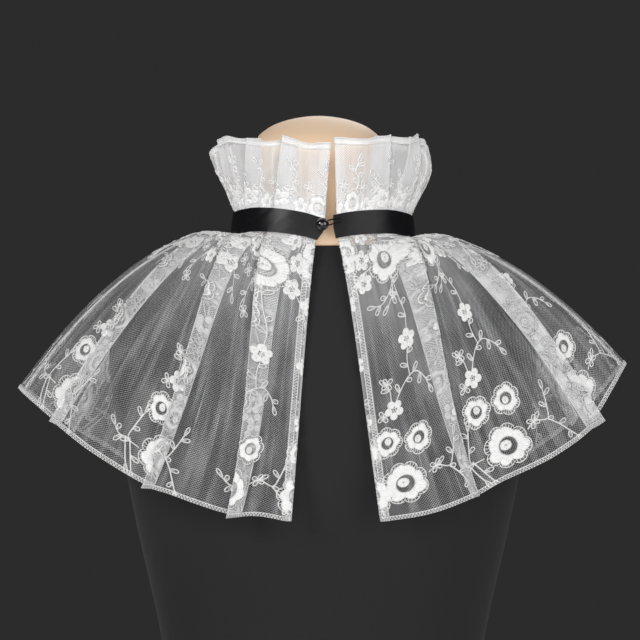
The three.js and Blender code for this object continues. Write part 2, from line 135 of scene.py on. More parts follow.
# Soft creases of the capelet: direction at the hem in degrees, where they start and end as
# shares of the way down, width in degrees, and height in millimetres, a trough where negative.
CREASES = (
    (10, 0.35, 1.0, 1.6, 0.9),
    (17, 0.1, 0.75, 2.2, -1.2),
    (30, 0.3, 1.0, 2.6, 1.6),
    (38, 0.0, 0.55, 3.0, -1.3),
    (47, 0.45, 1.0, 3.2, 1.8),
    (56, 0.1, 0.8, 2.4, -1.4),
    (72, 0.3, 1.0, 3.0, 1.5),
    (81, 0.0, 0.6, 3.5, -1.2),
    (103, 0.2, 1.0, 3.4, 1.7),
    (116, 0.4, 1.0, 3.0, -1.5),
    (138, 0.1, 0.9, 3.6, 1.6),
    (146, 0.5, 1.0, 2.4, -1.2),
    (165, 0.2, 1.0, 4.0, 1.7),
    (176, 0.0, 0.7, 3.0, -1.3),
    (190, 0.3, 1.0, 3.6, 1.6),
    (212, 0.1, 0.8, 3.0, -1.3),
    (222, 0.4, 1.0, 3.0, 1.5),
    (240, 0.0, 0.9, 3.4, 1.4),
    (255, 0.3, 1.0, 3.0, -1.6),
    (274, 0.1, 1.0, 3.2, 1.5),
    (286, 0.4, 1.0, 2.8, -1.4),
    (308, 0.2, 1.0, 3.4, 1.7),
    (316, 0.0, 0.6, 2.6, -1.3),
    (322, 0.5, 1.0, 2.4, 1.4),
    (336, 0.2, 1.0, 2.2, 1.5),
    (340, 0.0, 0.7, 1.8, -1.2),
    (352, 0.3, 1.0, 1.6, 0.9),
)


def mix(a, b, x):
    return a + (b - a) * x


def ease(x):
    x = np.clip(x, 0.0, 1.0)
    return x * x * (3 - 2 * x)


def power(x, p):
    return np.sign(x) * np.abs(x) ** p


def through(keys, values, at):
    """A smooth curve through a short table, read at any number of places."""
    keys, values = np.asarray(keys, float), np.asarray(values, float)
    slope = np.empty_like(values)
    slope[1:-1] = (values[2:] - values[:-2]) / (keys[2:] - keys[:-2])
    slope[0] = (values[1] - values[0]) / (keys[1] - keys[0])
    slope[-1] = (values[-1] - values[-2]) / (keys[-1] - keys[-2])
    at = np.asarray(at, float)
    i = np.clip(np.searchsorted(keys, at, side="left") - 1, 0, len(keys) - 2)
    span = keys[i + 1] - keys[i]
    x = np.clip((at - keys[i]) / span, 0, 1)
    x2, x3 = x * x, x * x * x
    level = values[i] * (2 * x3 - 3 * x2 + 1) + values[i + 1] * (3 * x2 - 2 * x3)
    return level + span * (slope[i] * (x3 - 2 * x2 + x) + slope[i + 1] * (x3 - x2))


# ---- the surfaces that the lace follows ----


def from_front(deg):
    return np.where(deg > 180, 360 - deg, deg)


def seam_z(deg):
    return SEAM_Z + through(SEAM_DEG, SEAM_RISE, from_front(deg)) + SIDE_TILT * np.sin(np.radians(deg))


def ring_point(deg, up, out):
    deg = np.asarray(deg, float)
    a = np.radians(deg)
    wider = out - NECK_FLARE * up
    x = (RING_X + wider) * np.sin(a)
    y = -(RING_Y + wider) * np.cos(a)
    return np.stack([x, y, seam_z(deg) + up], -1)


def hem_point(deg):
    a = np.radians(deg)
    sine, cosine = np.sin(a), np.cos(a)
    depth = np.where(cosine > 0, HEM_FRONT, HEM_BACK)
    drops = [through(HEM_DEG, side, from_front(deg)) for side in (HEM_LEFT, HEM_RIGHT)]
    x = HEM_HALF_WIDTH * power(sine, 2 / HEM_SQUARENESS)
    y = -depth * power(cosine, 2 / HEM_SQUARENESS)
    return np.stack([x, y, SEAM_Z - np.where(deg > 180, *drops)], -1)


def capelet_point(deg, down):
    deg = np.asarray(deg, float)
    start, end = ring_point(deg, -BAND, 0), hem_point(deg)
    facing = np.cos(np.radians(deg)) ** 2
    guides = []
    for out, side, front in DRAPE_GUIDES:
        g = mix(start, end, out)
        g[..., 2] = mix(start[..., 2], end[..., 2], mix(side, front, facing))
        guides.append(g)
    k = 1 - down
    p = start * k**3 + guides[0] * 3 * k * k * down + guides[1] * 3 * k * down**2 + end * down**3
    p[..., 2] += SHOULDER_PUFF * (1 - facing) * ease(down / 0.2) * k * k
    return p


def ruffle_point(deg, rise):
    deg = np.asarray(deg, float)
    sides = []
    for at, *columns in (RUFFLE_TOP_LEFT, RUFFLE_TOP_RIGHT):
        sides.append(np.array([through(at, column, from_front(deg)) for column in columns]))
    top, flare, curl = np.where(deg > 180, *sides)
    height = mix(BAND, top + SEAM_Z - seam_z(deg), rise)
    lean = flare * rise**1.15 - curl * rise**RUFFLE_CURL
    return ring_point(deg, height, lean + NECK_FLARE * (height - BAND))


def speed(base, deg):
    """Millimetres along the surface for one degree."""
    return float(np.linalg.norm(base(deg + 0.5) - base(deg - 0.5)))


def creases(deg, share):
    """The soft troughs and ridges of hanging net."""
    depth = np.zeros_like(deg)
    for at, start, end, width, height in CREASES:
        grown = ease((share - start) / 0.25)
        if end < 1:
            grown = grown * ease((end - share) / 0.25)
        depth += height * grown * np.exp(-(((deg - at) / width) ** 2))
    return depth


# ---- pleated strips ----

# Places along the cloth: between two pleats, over one layer, round a fold, and over a turned-in edge.
RAMP_STEPS, FOLD_STEPS, TURN_STEPS, HEM_STEPS = 16, 5, 4, 4
HEM_DEPTH = 0.8  # how far behind the cloth its turned-in edge lies
PATTERN_SHARE = 0.75  # the share of the way out at which the embroidery has its own width


def side_line(pleats, front, share, sweep, bulge, base):
    """Half a strip's line of cloth at one level, from its front edge to the centre back.

    A row is a direction in degrees, a depth, how far the tip hangs, and a share of extra cover.
    """
    rows = []

    def add(deg, depth, tip=0.0, fold=0.0):
        rows.append((deg, depth, tip, fold))

    swept = 1 - (1 - share) ** sweep
    start = mix(*front, swept)
    hem = HEM_TURN / speed(base, start)
    for i in range(HEM_STEPS):
        add(start + hem * (1 - i / HEM_STEPS), -HEM_DEPTH)
    add(start - 0.1, -HEM_DEPTH / 2, 0, 1)
    for i in range(HEM_STEPS):
        add(start + hem * i / HEM_STEPS, 0)
    last_deg, last_depth = start + hem, 0.0
    for row in (*pleats, None):
        edge, width, tip = 180.0, 0.0, 0.0
        if row:
            neck, neck_width, free, free_width, tip, pressed = row
            edge = mix(neck, free, swept)
            width = mix(neck_width, free_width, share) / speed(base, edge)
        inner = edge - width
        for i in range(RAMP_STEPS):
            f = i / RAMP_STEPS
            depth = mix(last_depth, 0, float(ease(f))) + bulge * math.sin(math.pi * f)
            add(mix(last_deg, inner, f), depth, TIP_SPREAD * tip * f**3)
        if not row:
            add(180, 0)
            break
        turn = LAYER / 2 / speed(base, edge)
        for i in range(FOLD_STEPS):
            f = i / FOLD_STEPS
            add(mix(inner, edge, f), 0, tip * mix(TIP_SPREAD, 1, f))
        for i in range(TURN_STEPS):
            a = math.pi * i / TURN_STEPS
            add(edge + turn * math.sin(a), -LAYER / 2 * (1 - math.cos(a)), tip, math.sin(a))
        for i in range(FOLD_STEPS):
            f = 1 - i / FOLD_STEPS
            add(mix(inner, edge, f), -LAYER, tip * f * f / 2, pressed)
        for i in range(TURN_STEPS):
            a = math.pi * i / TURN_STEPS
            add(inner - turn * math.sin(a), -LAYER * 1.5 + LAYER / 2 * math.cos(a), 0, math.sin(a))
        for i in range(FOLD_STEPS):
            f = i / FOLD_STEPS
            add(mix(inner, edge, f), -2 * LAYER, 0, pressed)
        last_deg, last_depth = edge, -2 * LAYER
    return np.array(rows)


def whole_line(pleats, fronts, share, sweep, bulge, base):
    right = side_line(pleats["right"], fronts["right"], share, sweep, bulge, base)
    left = side_line(pleats["left"], fronts["left"], share, sweep, bulge, lambda deg: base(360 - deg))
    back = left[-2::-1].copy()
    back[:, 0] = 360 - back[:, 0]
    return np.vstack([right, back])


class Lace:
    """A pleated strip as a grid of points, which also carries what is sewn on it.

    levels lists the rows: each one's share of the way out, and the surface that it lies on.
    """

    def __init__(self, levels, pleats, fronts, sweep, bulge, gather, crease, raise_tips):
        points, folds = [], []
        for k, (share, base) in enumerate(levels):
            line = whole_line(pleats, fronts, share, sweep, bulge * share**1.5, base)
            deg = line[:, 0]
            above, below = levels[max(k - 1, 0)][1], levels[min(k + 1, len(levels) - 1)][1]
            down = below(deg) - above(deg)
            down /= np.linalg.norm(down, axis=1, keepdims=True)
            across = base(deg + 0.5) - base(deg - 0.5)
            out = np.cross(down, across)
            out /= np.linalg.norm(out, axis=1, keepdims=True)
            depth = line[:, 1] + gather(deg, share) + crease(deg, share)
            lift = raise_tips * share * share * line[:, 2]
            points.append(base(deg) + out * depth[:, None] - down * lift[:, None])
            folds.append(line[:, 3])
        self.points = np.array(points)
        self.folds = np.array(folds)
        self.shares = np.array([share for share, _ in levels])
        d_row = np.gradient(self.points, axis=0)
        d_col = np.gradient(self.points, axis=1)
        normals = np.cross(d_row, d_col)
        self.normals = normals / np.maximum(np.linalg.norm(normals, axis=2, keepdims=True), 1e-9)
        steps = np.linalg.norm(np.diff(self.points, axis=0), axis=2).mean(axis=1)
        self.v = np.concatenate([[0], np.cumsum(steps)])
        row = int(np.argmin(np.abs(self.shares - PATTERN_SHARE)))
        steps = np.linalg.norm(np.diff(self.points, axis=1), axis=2)
        self.u = np.concatenate([[0], np.cumsum(steps[row])])
        self.lengths = steps.sum(axis=1)

    def pleat_middles(self):
        """Where the middle layer of each pleat lies along the strip."""
        edges = self.u[1:-1][self.folds[0, 1:-1] > 0.99]
        return (edges[1:-1:2] + edges[2:-1:2]) / 2

    def wider(self, v):
        """How much the strip is drawn together at v."""
        return float(np.interp(v, self.v, self.u[-1] / self.lengths))

    def at(self, u, v, height):
        """Points over the cloth at pattern places u along and v down the strip, in millimetres."""
        u, v, height = np.broadcast_arrays(np.asarray(u, float), v, height)
        c = np.interp(u, self.u, np.arange(len(self.u)))
        r = np.interp(v, self.v, np.arange(len(self.v)))
        c0 = np.clip(c.astype(int), 0, len(self.u) - 2)
        r0 = np.clip(r.astype(int), 0, len(self.v) - 2)
        fc, fr = (c - c0)[..., None], (r - r0)[..., None]

        def read(grid):
            top = grid[r0, c0] * (1 - fc) + grid[r0, c0 + 1] * fc
            low = grid[r0 + 1, c0] * (1 - fc) + grid[r0 + 1, c0 + 1] * fc
            return top * (1 - fr) + low * fr

        n = read(self.normals)
        n /= np.maximum(np.linalg.norm(n, axis=-1, keepdims=True), 1e-9)
        return read(self.points) + n * height[..., None]


def new_mesh(name, points, faces, material, uv=None):
    """A mesh object in metres from points in millimetres."""
    mesh = bpy.data.meshes.new(name)
    mesh.from_pydata((np.asarray(points, float) * MM).tolist(), [], faces)
    mesh.shade_smooth()
    if uv is not None:
        layer = mesh.uv_layers.new(name="cloth")
        corners = np.empty(len(mesh.loops), int)
        mesh.loops.foreach_get("vertex_index", corners)
        layer.data.foreach_set("uv", (np.asarray(uv)[corners] * MM).ravel())
    mesh.materials.append(material)
    mesh.update()
    obj = bpy.data.objects.new(name, mesh)
    bpy.context.collection.objects.link(obj)
    return obj


def grid_faces(rows, columns):
    """The faces of a grid whose points are listed row by row."""
    faces = []
    for r in range(rows - 1):
        for c in range(columns - 1):
            a = r * columns + c
            faces.append((a, a + columns, a + columns + 1, a + 1))
    return faces


def lace_sheet(name, lace, material):
    """The net itself: one thin sheet through the strip's grid."""
    faces = grid_faces(*lace.points.shape[:2])
    uv = np.stack(np.meshgrid(lace.u, lace.v), -1).reshape(-1, 2)
    obj = new_mesh(name, lace.points.reshape(-1, 3), faces, material, uv)
    fold = obj.data.attributes.new("fold", "FLOAT", "POINT")
    fold.data.foreach_set("value", lace.folds.ravel())
    return obj


# ---- finishes ----


class Wire:
    """A node's output, on which Python's operators add Math nodes."""

    def __init__(self, finish, socket):
        self.finish, self.socket = finish, socket

    def math(self, operation, other=None):
        values = {0: self}
        if other is not None:
            values[1] = other
        return self.finish.node("ShaderNodeMath", {"operation": operation}, values)

    def __add__(self, other):
        return self.math("ADD", other)

    def __sub__(self, other):
        return self.math("SUBTRACT", other)

    def __rsub__(self, other):
        return self.finish.node("ShaderNodeMath", {"operation": "SUBTRACT"}, {0: other, 1: self})

    def __mul__(self, other):
        return self.math("MULTIPLY", other)

    def __truediv__(self, other):
        return self.math("DIVIDE", other)

    __radd__, __rmul__ = __add__, __mul__

    def ridge(self):
        """1 at whole numbers, falling to 0 halfway between them."""
        return (self.math("FRACT") - 0.5).math("ABSOLUTE") * 2

    def above(self, low, high):
        """0 below low, 1 above high, and a straight ramp between."""
        settings = {"clamp": True}
        values = {"Value": self, "From Min": low, "From Max": high}
        return self.finish.node("ShaderNodeMapRange", settings, values)


class Finish:
    """A material, built one node at a time."""

    def __init__(self, name, colour, roughness, **constants):
        self.material = bpy.data.materials.new(name)
        self.material.use_nodes = True
        self.tree = self.material.node_tree
        self.shader = self.tree.nodes["Principled BSDF"]
        self.set("Base Color", (*colour, 1))
        self.set("Roughness", roughness)
        for key, value in constants.items():
            self.set(key.replace("_", " "), value)

    def set(self, key, value):
        socket = self.shader.inputs[key]
        if isinstance(value, Wire):
            self.tree.links.new(value.socket, socket)
        else:
            socket.default_value = value

    def node(self, kind, settings=None, values=None, output=0):
        """A new node, its settings made first and its inputs filled or linked after them."""
        made = self.tree.nodes.new(kind)
        for key, value in (settings or {}).items():
            setattr(made, key, value)
        for key, value in (values or {}).items():
            if isinstance(value, Wire):
                self.tree.links.new(value.socket, made.inputs[key])
            else:
                made.inputs[key].default_value = value
        return Wire(self, made.outputs[output])

    def place(self):
        return self.node("ShaderNodeTexCoord", output="Object")

    def pattern(self):
        """The cloth's own u and v, in millimetres."""
        uv = self.node("ShaderNodeUVMap", {"uv_map": "cloth"})
        both = self.node("ShaderNodeVectorMath", {"operation": "SCALE"}, {0: uv, "Scale": 1 / MM})
        split = self.node("ShaderNodeSeparateXYZ", values={0: both}).socket.node
        return Wire(self, split.outputs[0]), Wire(self, split.outputs[1])

    def combine(self, x, y):
        return self.node("ShaderNodeCombineXYZ", values={0: x, 1: y})

    def noise(self, where, scale, detail):
        values = {"Vector": where, "Scale": scale, "Detail": detail}
        return self.node("ShaderNodeTexNoise", values=values)

    def attribute(self, name):
        return self.node("ShaderNodeAttribute", {"attribute_name": name}, output="Fac")

    def blend(self, factor, low, high):
        values = {"Factor": factor, 6: (*low, 1), 7: (*high, 1)}
        return self.node("ShaderNodeMix", {"data_type": "RGBA"}, values, output=2)

    def bump(self, height, distance, strength):
        values = {"Height": height, "Distance": distance, "Strength": strength}
        self.set("Normal", self.node("ShaderNodeBump", values=values))


NET_PITCH = 2.0  # of the net's diagonal threads, along the strip


def net_finish(name, cover, thicker):
    """Fine diamond net of white thread, with more cover where it is creased, folded or gathered.

    cover is what the net has all over besides its threads. thicker lists places where it grows: the v
    where it starts, the v where it is whole, and how much it is.
    """
    finish = Finish(name, (0.87, 0.87, 0.88), 0.85, Specular_IOR_Level=0.2)
    u, v = finish.pattern()
    along, against = ((u + v) / NET_PITCH).ridge(), ((u - v) / NET_PITCH).ridge()
    mesh = (along.above(0.78, 1.0) * 0.5).math("MAXIMUM", against.above(0.82, 1.0) * 0.38)
    # The thread is uneven: broad streaks and fine lines run down the net, and it is patchy.
    streaks = finish.noise(finish.combine(u * 0.15, v * 0.012), 1.0, 3.0)
    lines = finish.noise(finish.combine(u * 0.55, v * 0.008), 1.0, 1.0)
    patches = finish.noise(finish.combine(u * 0.03, v * 0.03), 1.0, 2.0)
    haze = streaks.above(0.46, 0.78) * 0.16 + lines.above(0.66, 0.74) * 0.12
    haze = haze + patches.above(0.42, 0.8) * 0.06
    fold = finish.attribute("fold") * (streaks.above(0.3, 0.7) * 0.3 + 0.28)
    for starts, whole, more in thicker:
        cover = v.above(starts, whole) * more + cover
    finish.set("Alpha", (mesh + haze + fold + cover).math("MINIMUM", 0.96))
    return finish.material


def thread_finish(name, groove_shade):
    """Raised cotton embroidery, with the fine ridges of its stitches, and painted shade in the hollows
    between them: the colour darkens towards the given shade colour where the thread lies low.
    """
    finish = Finish(name, (0.84, 0.84, 0.83), 0.75, Sheen_Weight=0.15)
    grain = finish.noise(finish.place(), 1800.0, 2.0)
    clumps = finish.noise(finish.place(), 380.0, 2.0)
    # Painted shade: the colour is darkest where the thread lies lowest over the net and lightest on its
    # tops, and random clumps and grain vary the tone on top of that.
    raised = finish.attribute("height").above(0.02, 0.55) * 0.65
    raised = raised + clumps.above(0.35, 0.6) * 0.2 + grain * 0.2
    finish.set("Base Color", finish.blend(raised, groove_shade, (0.8, 0.8, 0.79)))
    finish.bump(grain, 0.0002, 0.6)
    return finish.material


def satin_finish():
    """Black satin: fine lengthwise floats that spread the light across the ribbon."""
    finish = Finish("satin_ribbon", (0.006, 0.006, 0.007), 0.34, Specular_IOR_Level=0.16)
    u, v = finish.pattern()
    floats = finish.noise(finish.combine(u * 0.25, v * 9.0), 1.0, 2.0)
    finish.set("Roughness", floats * 0.12 + 0.22)
    finish.bump(floats, 0.00008, 0.5)
    return finish.material


def bead_finish():
    """A black glass-like bead."""
    finish = Finish("button_gloss", (0.006, 0.006, 0.007), 0.06, Coat_Weight=0.6, Coat_Roughness=0.03)
    cloud = finish.noise(finish.place(), 260.0, 2.0)
    finish.set("Roughness", cloud * 0.05 + 0.04)
    return finish.material


def cord_finish():
    finish = Finish("loop_cord", (0.006, 0.006, 0.007), 0.7, Specular_IOR_Level=0.15)
    ply = finish.noise(finish.place(), 1500.0, 2.0)
    finish.bump(ply, 0.0002, 0.8)
    return finish.material


def cover_finish():
    """Black jersey, matt and close."""
    finish = Finish("form_cover", (0.011, 0.011, 0.012), 0.9, Sheen_Weight=0.05, Specular_IOR_Level=0.3)
    where = finish.place()
    knit = finish.noise(where, 1400.0, 2.0)
    wear = finish.noise(where, 9.0, 3.0)
    finish.set("Base Color", finish.blend(wear, (0.009, 0.009, 0.010), (0.014, 0.014, 0.015)))
    finish.set("Roughness", wear * 0.15 + 0.8)
    finish.bump(knit, 0.0002, 0.5)
    return finish.material


def neck_finish():
    """The form's painted neck: warm beige, slightly mottled."""
    finish = Finish("form_neck", (0.76, 0.56, 0.40), 0.6, Specular_IOR_Level=0.3)
    where = finish.place()
    patches = finish.noise(where, 14.0, 3.0)
    finish.set("Base Color", finish.blend(patches, (0.81, 0.56, 0.37), (0.91, 0.69, 0.49)))
    grain = finish.noise(where, 420.0, 3.0)
    finish.set("Roughness", grain * 0.12 + 0.55)
    finish.bump(grain, 0.0001, 0.35)
    return finish.material


# ---- embroidery ----


class Stitches:
    """Threads laid out flat: u along the strip, v down it and height over the net, in millimetres."""

    def __init__(self):
        self.places, self.faces, self.count = [], [], 0

    def add(self, places, faces):
        places = np.asarray(places, float)
        self.faces += [tuple(i + self.count for i in face) for face in faces]
        self.places.append(places)
        self.count += len(places)

    def cord(self, path, width, height, closed=False, base=0.0):
        """A raised cord with a three-sided section along a flat path."""
        path = np.asarray(path, float)
        n = len(path)
        if closed:
            ahead = np.roll(path, -1, 0) - np.roll(path, 1, 0)
        else:
            ahead = np.gradient(path, axis=0)
        ahead /= np.maximum(np.linalg.norm(ahead, axis=1, keepdims=True), 1e-9)
        side = np.stack([-ahead[:, 1], ahead[:, 0]], 1) * width / 2
        flat = np.full((n, 1), base)
        left = np.hstack([path + side, flat - 0.1])
        top = np.hstack([path, flat + height])
        right = np.hstack([path - side, flat - 0.1])
        places = np.stack([left, top, right], 1).reshape(-1, 3)
        faces = []
        for i in range(n if closed else n - 1):
            a, b = 3 * i, 3 * ((i + 1) % n)
            for k in range(3):
                m = (k + 1) % 3
                faces.append((a + k, b + k, b + m, a + m))
        if not closed:
            faces += [(0, 1, 2), (3 * n - 1, 3 * n - 2, 3 * n - 3)]
        self.add(places, faces)

    def bar(self, start, end, width, height):
        """One straight stitch, a closed three-sided bar."""
        start, end = np.asarray(start, float), np.asarray(end, float)
        ahead = (end - start) / max(np.linalg.norm(end - start), 1e-9)
        side = np.array([-ahead[1], ahead[0]]) * width / 2
        places = []
        for p in (start, end):
            places += [(*(p + side), -0.1), (*p, height), (*(p - side), -0.1)]
        faces = [(0, 3, 4, 1), (1, 4, 5, 2), (2, 5, 3, 0), (0, 1, 2), (5, 4, 3)]
        self.add(places, faces)

    def disc(self, centre, inner, outer, height, petals=0):
        """Satin stitches round a centre, from one closed outline to another, ridged thread by thread.

        Where it has petals, the stitch between two of them lies lower.
        """
        n = len(outer)
        rings = []
        parted = np.ones(n)
        if petals:
            parted[:: n // petals] = 0.55
        for share, lift in ((0, 0.0), (0.12, 1.0), (0.88, 1.0), (1, 0.0)):
            ring = mix(inner, outer, share)
            # The thread finish paints shade by these heights, so the lower threads and the low stitches
            # between petals come out darker.
            ridge = height * (0.5 + 0.5 * (np.arange(n) % 2)) * lift * parted
            rings.append(np.column_stack([ring + centre, ridge]))
        rings.append(np.column_stack([mix(inner, outer, 0.5) + centre, np.full(n, -0.25)]))
        faces = []
        for k in range(5):
            for i in range(n):
                j = (i + 1) % n
                a, b = k * n, ((k + 1) % 5) * n
                faces.append((a + i, b + i, b + j, a + j))
        self.add(np.vstack(rings), faces)

    def stamp(self, motif, u, v, turn=0.0, wider=1.0, lean=0.0):
        """A copy of a motif on the strip, turned by degrees, widened along it and leaning to the side."""
        a = math.radians(turn)
        places = np.vstack(motif.places).copy()
        x, y = places[:, 0].copy(), places[:, 1].copy()
        places[:, 0] = u + (x * math.cos(a) - y * math.sin(a)) * wider
        places[:, 1] = v + x * math.sin(a) + y * math.cos(a)
        places[:, 0] -= (places[:, 1] - v) * lean
        self.add(places, motif.faces)

    def sew(self, name, lace, material):
        """Lays the threads on a pleated strip, cut off at its ends."""
        places = np.vstack(self.places)
        u, v = places[:, 0], places[:, 1]
        kept = (u > 0.2) & (u < lace.u[-1] - 0.2) & (v > 0.2) & (v < lace.v[-1] + 0.2)
        points = lace.at(u, v, places[:, 2])
        faces = [face for face in self.faces if all(kept[i] for i in face)]
        used = np.zeros(len(kept), bool)
        used[[i for face in faces for i in face]] = True
        number = np.cumsum(used) - 1
        faces = [tuple(int(number[i]) for i in face) for face in faces]
        obj = new_mesh(name, points[used], faces, material)
        # The threads' height over the net, which the thread finish turns into painted shade where they lie
        # low.
        height = obj.data.attributes.new("height", "FLOAT", "POINT")
        height.data.foreach_set("value", places[used, 2])
        return obj


def circle(radius, n, stretch=1.0):
    a = np.linspace(0, 2 * math.pi, n, endpoint=False)
    return np.stack([radius * np.cos(a), radius * stretch * np.sin(a)], 1)


def smooth_path(points, step):
    """A smooth curve through a few points, with a point about every step millimetres."""
    p = np.asarray(points, float)
    p = np.vstack([2 * p[0] - p[1], p, 2 * p[-1] - p[-2]])
    out = []
    for a, b, c, d in zip(p[:-3], p[1:-2], p[2:-1], p[3:]):
        n = max(2, int(np.linalg.norm(c - b) / step))
        t = np.linspace(0, 1, n, endpoint=False)[:, None]
        curve = 2 * b + (c - a) * t + (2 * a - 5 * b + 4 * c - d) * t**2 + (3 * b - a - 3 * c + d) * t**3
        out.append(curve / 2)
    return np.vstack([*out, p[-2]])


def rosette(radius, petals, filled):
    """A round scalloped flower: cord outline, radial satin stitches and a ring of bare net inside.

    filled is the share of the way to the rim that the satin reaches, and single stitches go on from there.
    """
    flower = Stitches()
    n = petals * 10
    a = np.linspace(0, 2 * math.pi, n, endpoint=False)
    scallop = 0.84 + 0.16 * np.abs(np.sin(petals * a / 2)) ** 0.6
    scallop = scallop + 0.035 * np.sin(2 * a + 1) + 0.03 * np.sin(3 * a)
    rim = np.stack([np.cos(a), np.sin(a)], 1) * (radius * scallop)[:, None]
    fringe = 1 + 0.07 * np.where(np.arange(n) % 2, 1, -1)
    hole = circle(radius * 0.38, n) * fringe[:, None] + (radius * 0.03, radius * 0.02)
    satin = filled + 0.05 * np.sin(3 * a + 0.7) + 0.035 * np.sin(7 * a)
    flower.disc((0, 0), hole, rim * satin[:, None], 0.55, petals)
    for i in range(0, n, 2):
        flower.bar(rim[i] * (satin[i] - 0.05), rim[i] * 1.03, 0.7, 0.5)
    flower.cord(rim, 1.0, 0.5, closed=True)
    core = circle(radius * 0.27, 16, 0.85)
    aside = np.array([-radius * 0.06, -radius * 0.045])
    flower.disc(aside, core * 0.05, core, 0.5)
    for k in range(4):
        turn = math.pi * k / 2 + 0.4
        knot = circle(radius * 0.085, 6) + radius * 0.13 * np.array([math.cos(turn), math.sin(turn)])
        flower.cord(knot + aside, 0.8, 0.8, closed=True, base=0.15)
    return flower


def small_flower(radius):
    """Five full round petals round a knot."""
    flower = Stitches()
    for k in range(5):
        a = 2 * math.pi * k / 5 + 0.3
        middle = radius * 0.62 * np.array([math.cos(a), math.sin(a)])
        petal = circle(radius * 0.38, 12)
        flower.disc(middle, petal * 0.04, petal, 0.45)
        flower.cord(petal * 0.95 + middle, 0.8, 0.55, closed=True)
    flower.cord(circle(radius * 0.16, 6), 1.0, 0.7, closed=True)
    return flower


def leaf(length, width):
    """A looped leaf, drawn in cord from its stalk."""
    loop = Stitches()
    t = np.linspace(0, 2 * math.pi, 12, endpoint=False)
    x = length / 2 * (1 - np.cos(t))
    y = width / 2 * np.sin(t) * (0.75 + 0.25 * np.cos(t - math.pi))
    loop.cord(np.stack([x, y], 1), 1.15, 0.5, closed=True)
    loop.bar((length * 0.12, 0), (length * 0.6, 0), 0.7, 0.4)
    return loop


LEAF, ROUND_LEAF = leaf(7.4, 3.5), leaf(5.2, 3.8)


def looped_flower():
    """Four open loops of cord round a point."""
    flower = Stitches()
    for k in range(4):
        flower.stamp(ROUND_LEAF, 0, 0, 90 * k + 40)
    return flower


LARGE = rosette(17.5, 8, 0.89)
MEDIUM = rosette(12, 7, 0.82)
SMALL = small_flower(7.8)
LOOPED = looped_flower()
LEAF_ANGLE = 58  # of a twig's leaves to its stem


def twig(stitches, points, leaves, wider):
    """A cord stem through points (along, up) with looped leaves on alternate sides and at its tip."""
    path = smooth_path(points, 2.2) * (1, -1)
    stitches.cord(path, 1.2, 0.5)
    steps = np.linalg.norm(np.diff(path, axis=0), axis=1)
    along = np.concatenate([[0], np.cumsum(steps)])
    for k in range(leaves):
        share = (k + 0.75) / (leaves + 0.4)
        i = min(int(np.searchsorted(along, share * along[-1])), len(path) - 2)
        ahead = math.degrees(math.atan2(*(path[i + 1] - path[i])[::-1]))
        kind = ROUND_LEAF if k % 3 == 1 else LEAF
        turned = ahead + (LEAF_ANGLE if k % 2 else -LEAF_ANGLE)
        stitches.stamp(kind, *path[i], turned, wider(-path[i, 1]))
    last = path[-1] - path[-2]
    stitches.stamp(LEAF, *path[-1], math.degrees(math.atan2(last[1], last[0])), wider(-path[-1, 1]))


# One repeat of the capelet's pattern, in millimetres along the strip and up from the hem.
CAPELET_FLOWERS = (
    (LARGE, 0, 24),
    (MEDIUM, -12, 59),
    (MEDIUM, 12, 57),
    (SMALL, -6, 84),
    (LOOPED, -15, 80),
    (LOOPED, -11, 105),
    (LOOPED, 23, 31),
    (SMALL, 11, 133),
    (LARGE, 4, 198),
    (SMALL, 33, 208),
    (SMALL, -26, 203),
    (MEDIUM, -46, 212),
    (MEDIUM, 53, 219),
    (SMALL, -19, 222),
    (SMALL, 22, 224),
    (LOOPED, 48, 196),
    (LOOPED, -34, 186),
    (LOOPED, -50, 190),
    (LOOPED, 0, 222),
    (LOOPED, 38, 226),
    (LOOPED, -32, 226),
    (SMALL, 31, 188),
    (SMALL, -27, 186),
    (LOOPED, -44, 158),
)
# The vine that runs down inside each pleat.
FOLD_FLOWERS = (
    (SMALL, 2, 30),
    (LOOPED, -4, 48),
    (SMALL, -3, 70),
    (MEDIUM, 2, 96),
    (LOOPED, 5, 116),
    (SMALL, -2, 134),
    (MEDIUM, 0, 160),
    (SMALL, 3, 186),
    (MEDIUM, -1, 210),
)
FOLD_TWIGS = (
    (((0, 6), (3, 26), (-2, 48), (-4, 66)), 4),
    (((-3, 76), (2, 90)), 1),
    (((3, 106), (-3, 118), (-2, 130)), 3),
    (((0, 140), (4, 152), (0, 172), (3, 182)), 4),
)
# What the cut front edges cut through: places up from the hem.
EDGE_FLOWERS = (
    (LARGE, 5, 22),
    (MEDIUM, 5, 58),
    (SMALL, 5, 82),
    (LOOPED, 8, 98),
    (SMALL, 4, 130),
    (LOOPED, 8, 152),
    (SMALL, 4, 178),
    (MEDIUM, 5, 208),
)
CAPELET_TWIGS = (
    (((17, 28), (24, 31), (33, 27), (37, 35), (41, 48)), 4),
    (((33, 27), (39, 19), (44, 10), (47, 4)), 2),
    (((-17, 23), (-26, 25), (-25, 36), (-22, 49)), 3),
    (((-26, 25), (-33, 24), (-38, 28)), 2),
    (((-25, 26), (-20, 14), (-16, 4)), 1),
    (((-28, 25), (-24, 14), (-21, 7)), 0),
    (((-4, 90), (1, 98), (8, 105), (16, 107), (23, 100), (26, 93)), 5),
    (((-8, 90), (-9, 100), (-12, 104)), 1),
    (((10, 105), (9, 118), (11, 128)), 2),
    (((12, 140), (13, 152), (9, 166), (6, 182)), 4),
    (((7, 180), (0, 172), (-9, 166), (-17, 166)), 3),
    (((5, 181), (4, 171), (-3, 163)), 1),
    (((20, 196), (32, 188), (42, 178), (47, 166)), 4),
    (((-14, 196), (-30, 192), (-42, 180), (-46, 168)), 4),
)

